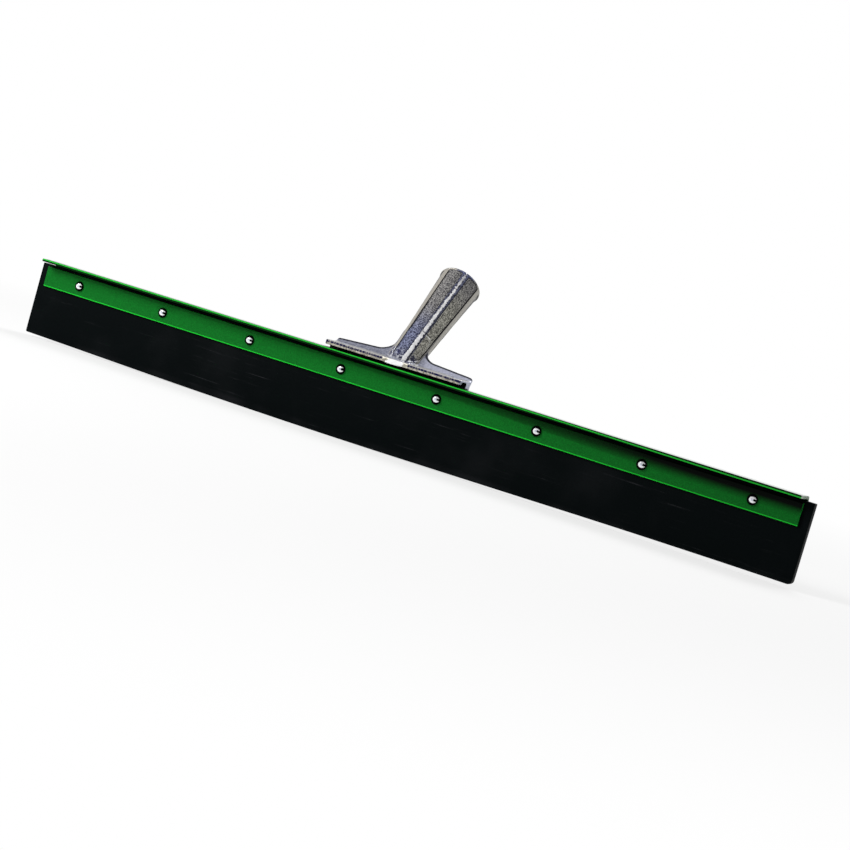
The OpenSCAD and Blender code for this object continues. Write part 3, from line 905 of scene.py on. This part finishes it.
# painted shade low on the left, painted light on the right, a painted highlight along the step
low_end = along.until(15.0, 50.0)*(1 - across.step(-1.0, 1.0)*0.85)
right_side = across.step(0.0, 3.0)*along.until(45.0, 75.0)
corner = (across - 6.0).high(0.0)
step_line = panel*abs(along - SINK["step"] + 0.2 + corner*corner*0.9).until(0.25, 0.6)
step_line = step_line*across.step(0.0, 1.0)
panel_metal = grained((44, 44, 50), (158, 156, 154))
panel_metal = cast.mix(low_end*0.8, panel_metal, grained((34, 38, 66), (128, 136, 170)))
panel_metal = cast.mix(right_side, panel_metal, grained((64, 64, 60), (188, 186, 176)))
panel_metal = cast.mix(step_line*0.7, panel_metal, srgb(204, 206, 208))
print("nodes with the panels' tone:", len(cast.tree.nodes))

# %% [markdown]
# The ribs are an even grey with a fine grain. The outer two get a painted tan reflection, and the rim in
# front a painted blue reflection.

# %% Tone of the ribs
# painted blue reflection on the rim in front
rim = on_tube*(along - TUBE["length"] + 3.4).step(0.0, 0.8)*(1 - panel)*abs(across).until(3.0, 9.0)
rim = rim*forward.step(2.0, 5.0)
rib_metal = cast.mix(grain.step(0.3, 0.7), srgb(98, 97, 96), srgb(146, 144, 140))
# painted tan reflections on the outer two ribs
rib_metal = cast.mix((-across).step(7.0, 9.0)*0.5, rib_metal, srgb(192, 186, 174))
rib_metal = cast.mix((across - 10.2).step(0.0, 0.8)*0.4, rib_metal, srgb(206, 202, 192))
rib_metal = cast.mix(rim*0.6, rib_metal, srgb(110, 122, 176))
print("nodes with the ribs' tone:", len(cast.tree.nodes))

# %% [markdown]
# The foot's faces are painted in lit and shaded tones: creamy on its face, a painted highlight on the
# bevel above it, grey on top and bluish painted shade on the fins, of which the right one is painted
# lighter than the left one.

# %% Tone of the foot
def mottled(dark, light):
    """Two colours, shared out by a softer mottle."""
    return cast.mix(mottle, srgb(*dark), srgb(*light))


on_fins = (1 - face)*(1 - ledge)
# one metal painted in lit and shaded tones, face by face
foot_metal = mottled((112, 115, 132), (168, 170, 184))
foot_metal = cast.mix(ledge, foot_metal, mottled((150, 150, 152), (186, 185, 182)))
foot_metal = cast.mix(face, foot_metal, mottled((118, 115, 102), (200, 196, 182)))
# painted highlight on the bevel
foot_metal = cast.mix(bevel, foot_metal, srgb(238, 234, 226))
# painted shade on the left fin, painted light on the right one
foot_metal = cast.mix((-side).step(8.0, 16.0)*on_fins*0.35, foot_metal, srgb(84, 86, 100))
foot_metal = cast.mix(side.step(10.0, 20.0)*on_fins*0.45, foot_metal, srgb(196, 198, 216))
print("nodes with the foot's tone:", len(cast.tree.nodes))

# %% [markdown]
# Last, the tones are laid over each other in this order: metal, a painted highlight on the low rim,
# painted shade and highlight on the neck, painted shade on the shoulders, the other painted shade, and
# the painted highlights on the crests on top. Polished metal with a dark colour still flares at a grazing
# angle, so whatever is painted dark is also less metallic.

# %% Cast metal
def torn(start, end, dark, light):
    """Two colours that meet along the ragged noise."""
    return cast.mix(ragged.step(start, end), srgb(*dark), srgb(*light))


metal = cast.mix(on_tube, foot_metal, rib_metal)
metal = cast.mix(panel, metal, panel_metal)
# painted highlight on the low rim
metal = cast.mix(low_rim*0.8, metal, srgb(222, 224, 232))
# painted shade and painted highlight on the neck
metal = cast.mix(neck*0.8*(1 - panel*0.6), metal, torn(0.42, 0.56, (28, 32, 84), (226, 228, 236)))
metal = cast.mix(shoulder_shade*(0.85 - low_end*0.2), metal,
                 torn(0.38, 0.6, (14, 16, 34), (104, 109, 140)))
metal = cast.mix(painted_dark*(1 - painted_highlight), metal, cast.mix(navy, srgb(16, 17, 28), srgb(18, 20, 66)))
# painted highlight, white and not metallic
metal = cast.mix(painted_highlight, metal, srgb(250, 250, 252))
dull = (painted_dark + cored + shoulder_shade*0.6).low(1.0)*(1 - painted_highlight)
cast.set(
    Base_Color=cast.mix(cored, metal, srgb(8, 8, 9)),
    Metallic=0.85*(1 - dull)*(1 - painted_highlight),
    Roughness=0.36 + rough_cast*0.14 + fine_grain*0.1 - painted_highlight*0.1,
    Specular_IOR_Level=0.03,
    Normal=cast.bump(height))
dress(socket, cast)

# %% [markdown]
# ## The rivets' metal
# Bright drawn wire, headed cold: the glossiest thing here, with hairline scratches. Eight domes share
# one material, so the place on a dome comes from X taken modulo the pitch. Each front crown is a painted
# highlight a little off its middle, with a painted bluish glint, a painted dark reflection on the right,
# and a rim in painted black shade.

# %% Places on a rivet
CROWN = dict(x=0.75, squeeze=0.83, radius=1.8)
bright = finish_of("rivet_metal")
mm, (x, y, z) = bright.place()
scratch = bright.noise(bright.stretch(mm, 1.0, 1.0, 9.0), 0.8, 3.0, 0.6)
dents = bright.noise(mm, 0.9, 2.0, 0.5)
uneven = bright.noise(mm, 0.11, 1.0, 0.5) - 0.5
aside = ((x/RIVET_PITCH).fract() - 0.5)*RIVET_PITCH
up = z - RIVET_Z
from_crown = (((aside - CROWN["x"])*CROWN["squeeze"])**2.0 + up*up)**0.5
front = (FRONT_Y - y).step(-0.1, 0.0)
rear = (y - BACK_Y).step(-0.1, 0.0)
# painted glint: a bluish spot in the crown
glint = aside.near(0.4, 0.5, 1.1)*abs(up).until(0.4, 1.0)*front
# painted dark reflection on the right of each crown
dark_reflection = (aside - 1.0 - uneven).step(0.0, 0.5)*abs(up - 0.1 + uneven*1.5).until(0.6, 0.95)
# painted shade: a black ring round the crown, with the painted dark reflection
front_painted_dark = front*((from_crown - CROWN["radius"]).step(0.0, 0.3) + dark_reflection).low(1.0)
# darker where the closed heads meet the frame
rear_painted_dark = rear*(y - BACK_Y).until(0.1, 0.5)
# painted shade on the flat heads under the frame
under_flange = z.near(56.4, 0.8, 1.0)
print("nodes for the places:", len(bright.tree.nodes))

# %% [markdown]
# The closed heads behind and on top of the foot were hammered, and are greyer and less smooth.

# %% Rivet metal
# all that is painted dark on the rivets
painted_dark = (front_painted_dark + rear_painted_dark + under_flange).low(1.0)
closed = (rear*(0.5 + dents*0.5) + (z - 60.0).step(0.0, 1.0)).low(1.0)
# painted highlight: the front crowns are nearly white and only a quarter metallic
steel = bright.mix((glint*0.6 + closed).low(1.0), srgb(250, 251, 253), srgb(168, 178, 204))
bright.set(
    Base_Color=bright.mix(painted_dark, steel, srgb(3, 4, 4)),
    Metallic=(1.0 - painted_dark)*(1 - front*0.75),
    Roughness=0.12 + scratch.step(0.4, 0.7)*0.1 + closed*0.15 + painted_dark*0.5,
    Specular_IOR_Level=0.02,
    Normal=bright.bump(dents*0.05 + scratch*0.01))
for piece in (rivets, flush_rivets):
    dress(piece, bright)

# %% [markdown]
# ## Floor, light and background
# The floor is plain and pale and keeps the shadow near the object. Further out it turns into plain
# white light, so that no horizon shows.

# %% Floor
FLOOR_RADIUS = 9.0
floor_mesh = bpy.data.meshes.new("floor")
ring = np.linspace(0, 2*np.pi, 64, endpoint=False)
floor_points = np.column_stack([np.cos(ring)*FLOOR_RADIUS, np.sin(ring)*FLOOR_RADIUS, np.zeros(64)])
floor_mesh.from_pydata(floor_points, [], [list(range(64))])
floor = bpy.data.objects.new("floor", floor_mesh)
bpy.context.scene.collection.objects.link(floor)

pale = finish_of("pale_floor")
pale.set(Base_Color=(0.92, 0.92, 0.92, 1.0), Roughness=0.9, Specular_IOR_Level=0.1)
mm, (x, y, z) = pale.place()
far = ((x*x + y*y)**0.5).step(330.0, 900.0)
white = pale.node("ShaderNodeEmission", None, Color=(1.0, 1.0, 1.0, 1.0), Strength=1.0)
rays = [pale.node("ShaderNodeLightPath", output=i) for i in (0, 3, 6)]
seen = (rays[0] + rays[1] + rays[2]).low(1.0)
shaded = Value(pale, pale.surface.outputs[0])
mixed = pale.node("ShaderNodeMixShader", None, seen*(0.7 + far*0.3), shaded, white)
pale.link(mixed, pale.tree.nodes["Material Output"].inputs["Surface"])
dress(floor, pale)

# %% [markdown]
# To the camera the surroundings are white. Polished metal needs something dark to reflect, or it looks
# like paper, so for reflections the room is bright only behind the object and to its left, and dim in
# front and to the right. Everything else gets weak even light from it.

# %% World
studio = Shader(bpy.data.worlds.new("studio"))
bpy.context.scene.world = studio.owner
x, y, z = studio.split(studio.node("ShaderNodeTexCoord", output=0))
camera_ray, glossy_ray = (studio.node("ShaderNodeLightPath", output=i) for i in (0, 3))
behind = y.step(-0.1, 0.3)
left_wall = (-x).step(0.2, 0.7)
front_right = (x*0.6 - y*0.8 - z*0.3).step(0.2, 0.7)
room = (0.25 + behind*0.75 + left_wall*0.5 + z.step(0.3, 0.9)*0.2 - front_right*0.15).low(1.0)
strength = camera_ray + (1 - camera_ray)*(glossy_ray*room + (1 - glossy_ray)*0.25)
studio.link(strength, studio.tree.nodes["Background"].inputs["Strength"])
studio.tree.nodes["Background"].inputs["Color"].default_value = (1.0, 1.0, 1.0, 1.0)
print("the studio has", len(studio.tree.nodes), "nodes")

# %% [markdown]
# Two large soft lamps do the rest. The key lamp stands close, to the left, above and in front, and
# shapes the tube. A second one, behind and higher, gives the lip's top face its gloss.

# %% Lamps
LOOK_AT = Vector((0.0, 0.0, 0.05))


def soft_lamp(name, place, size, watts):
    """A square lamp at place, in metres, turned to face the middle of the blade."""
    lamp = bpy.data.lights.new(name, "AREA")
    lamp.shape, lamp.size, lamp.energy = "SQUARE", size, watts
    made = bpy.data.objects.new(name, lamp)
    bpy.context.scene.collection.objects.link(made)
    towards = LOOK_AT - Vector(place)
    made.location = place
    made.rotation_euler = towards.to_track_quat("-Z", "Y").to_euler()
    print(name, "%.2f m away" % towards.length)


soft_lamp("key", (-0.8, -0.85, 0.72), 0.6, 14.0)
soft_lamp("back", (0.2, 0.7, 1.3), 0.8, 10.0)
bpy.context.scene.view_settings.view_transform = "Standard"

# %% [markdown]
